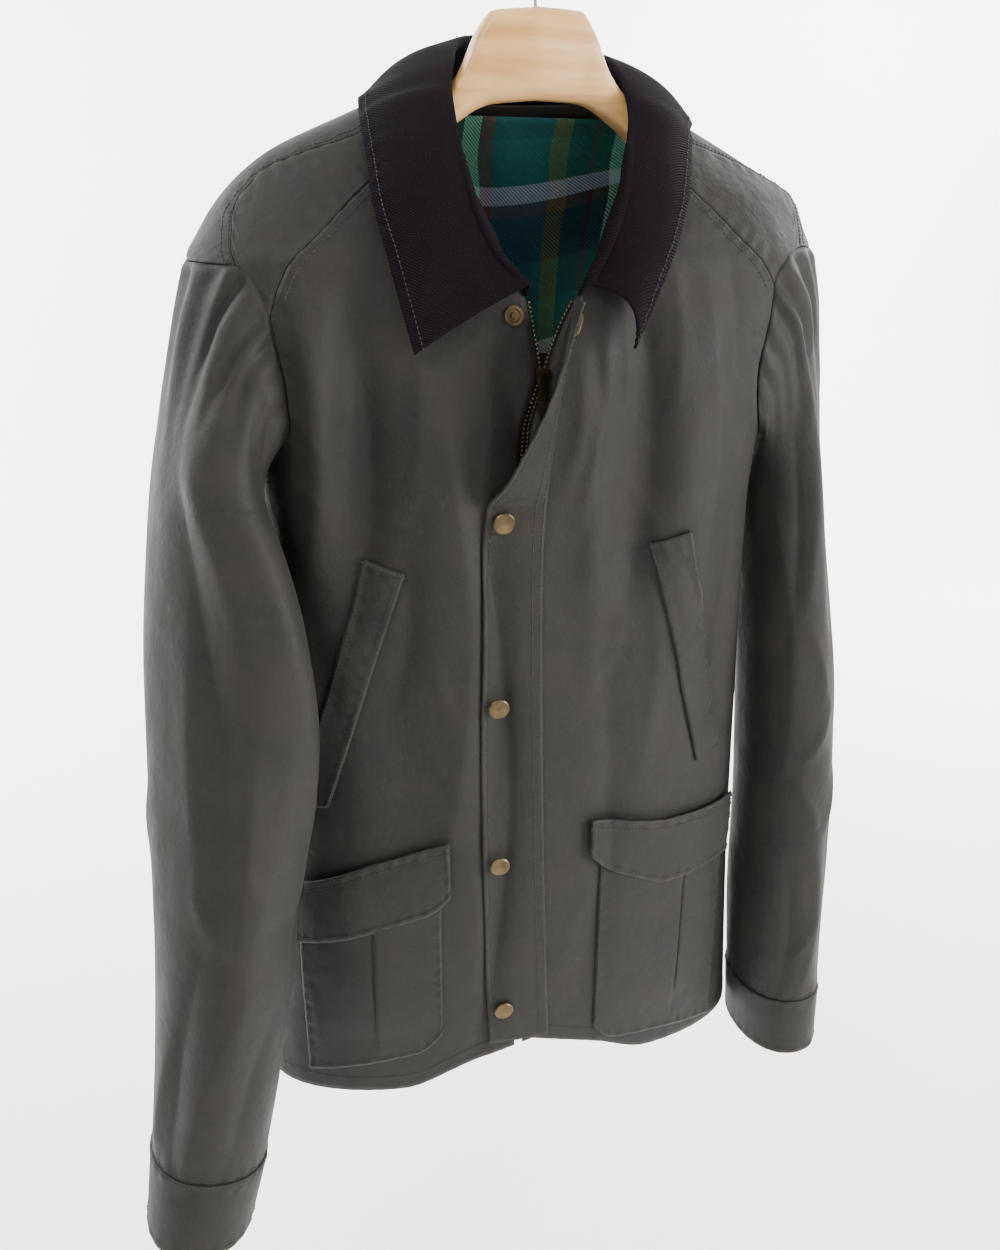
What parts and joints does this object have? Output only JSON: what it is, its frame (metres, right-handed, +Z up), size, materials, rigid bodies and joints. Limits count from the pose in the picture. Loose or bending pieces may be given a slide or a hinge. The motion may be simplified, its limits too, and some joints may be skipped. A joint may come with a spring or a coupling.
{
  "type": "waxed cotton jacket on a hanger",
  "caption": "Thigh-length waxed cotton jacket with a ribbed collar, zip under a snap storm flap, slanting and patch pockets and banded cuffs, hung on a wooden hanger.",
  "frame": {"origin": "the inside top of the hanger hook, where the rail bears", "axes": "+Z up, +X to the wearer's left, +Y to the back of the jacket, so the front faces -Y"},
  "size_m": [0.6136, 0.3046, 0.937],
  "materials": {
    "waxed_cotton": "waxed, dull sheen",
    "ribbed_collar": "ribbed cord, matt",
    "plaid_lining": "twill, matt",
    "zip_tape": "woven, matt",
    "aged_brass": "antique, satin",
    "hanger_wood": "clear varnish, satin",
    "hook_steel": "plated, polished"
  },
  "bodies": {
    "jacket": {"front_right": "waxed_cotton", "front_yoke_right": "waxed_cotton", "sleeve_right": "waxed_cotton", "cuff_right": "waxed_cotton", "welt_right": "waxed_cotton", "pocket_right": "waxed_cotton", "pocket_flap_right": "waxed_cotton", "zip_tape_right": "zip_tape", "front_left": "waxed_cotton", "front_yoke_left": "waxed_cotton", "sleeve_left": "waxed_cotton", "cuff_left": "waxed_cotton", "welt_left": "waxed_cotton", "pocket_left": "waxed_cotton", "pocket_flap_left": "waxed_cotton", "zip_tape_left": "zip_tape", "back": "waxed_cotton", "back_yoke": "waxed_cotton", "collar": "ribbed_collar", "storm_flap": "waxed_cotton", "lining_back": "plaid_lining", "snap_cap_1": "aged_brass", "snap_cap_2": "aged_brass", "snap_cap_3": "aged_brass", "snap_cap_4": "aged_brass", "snap_cap_5": "aged_brass", "stud_1": "aged_brass", "zip_slider": "aged_brass", "hanger_body": "hanger_wood", "hanger_hook": "hook_steel"},
    "pull_tab": {"pull_tab": "aged_brass"}
  },
  "joints": [
    {"name": "pull_tab_hinge", "type": "hinge", "parent": "jacket", "child": "pull_tab", "pos_m": [-0.016, -0.0941, -0.299], "axis": [-1, 0, 0], "range_deg": [0, 24]}
  ]
}
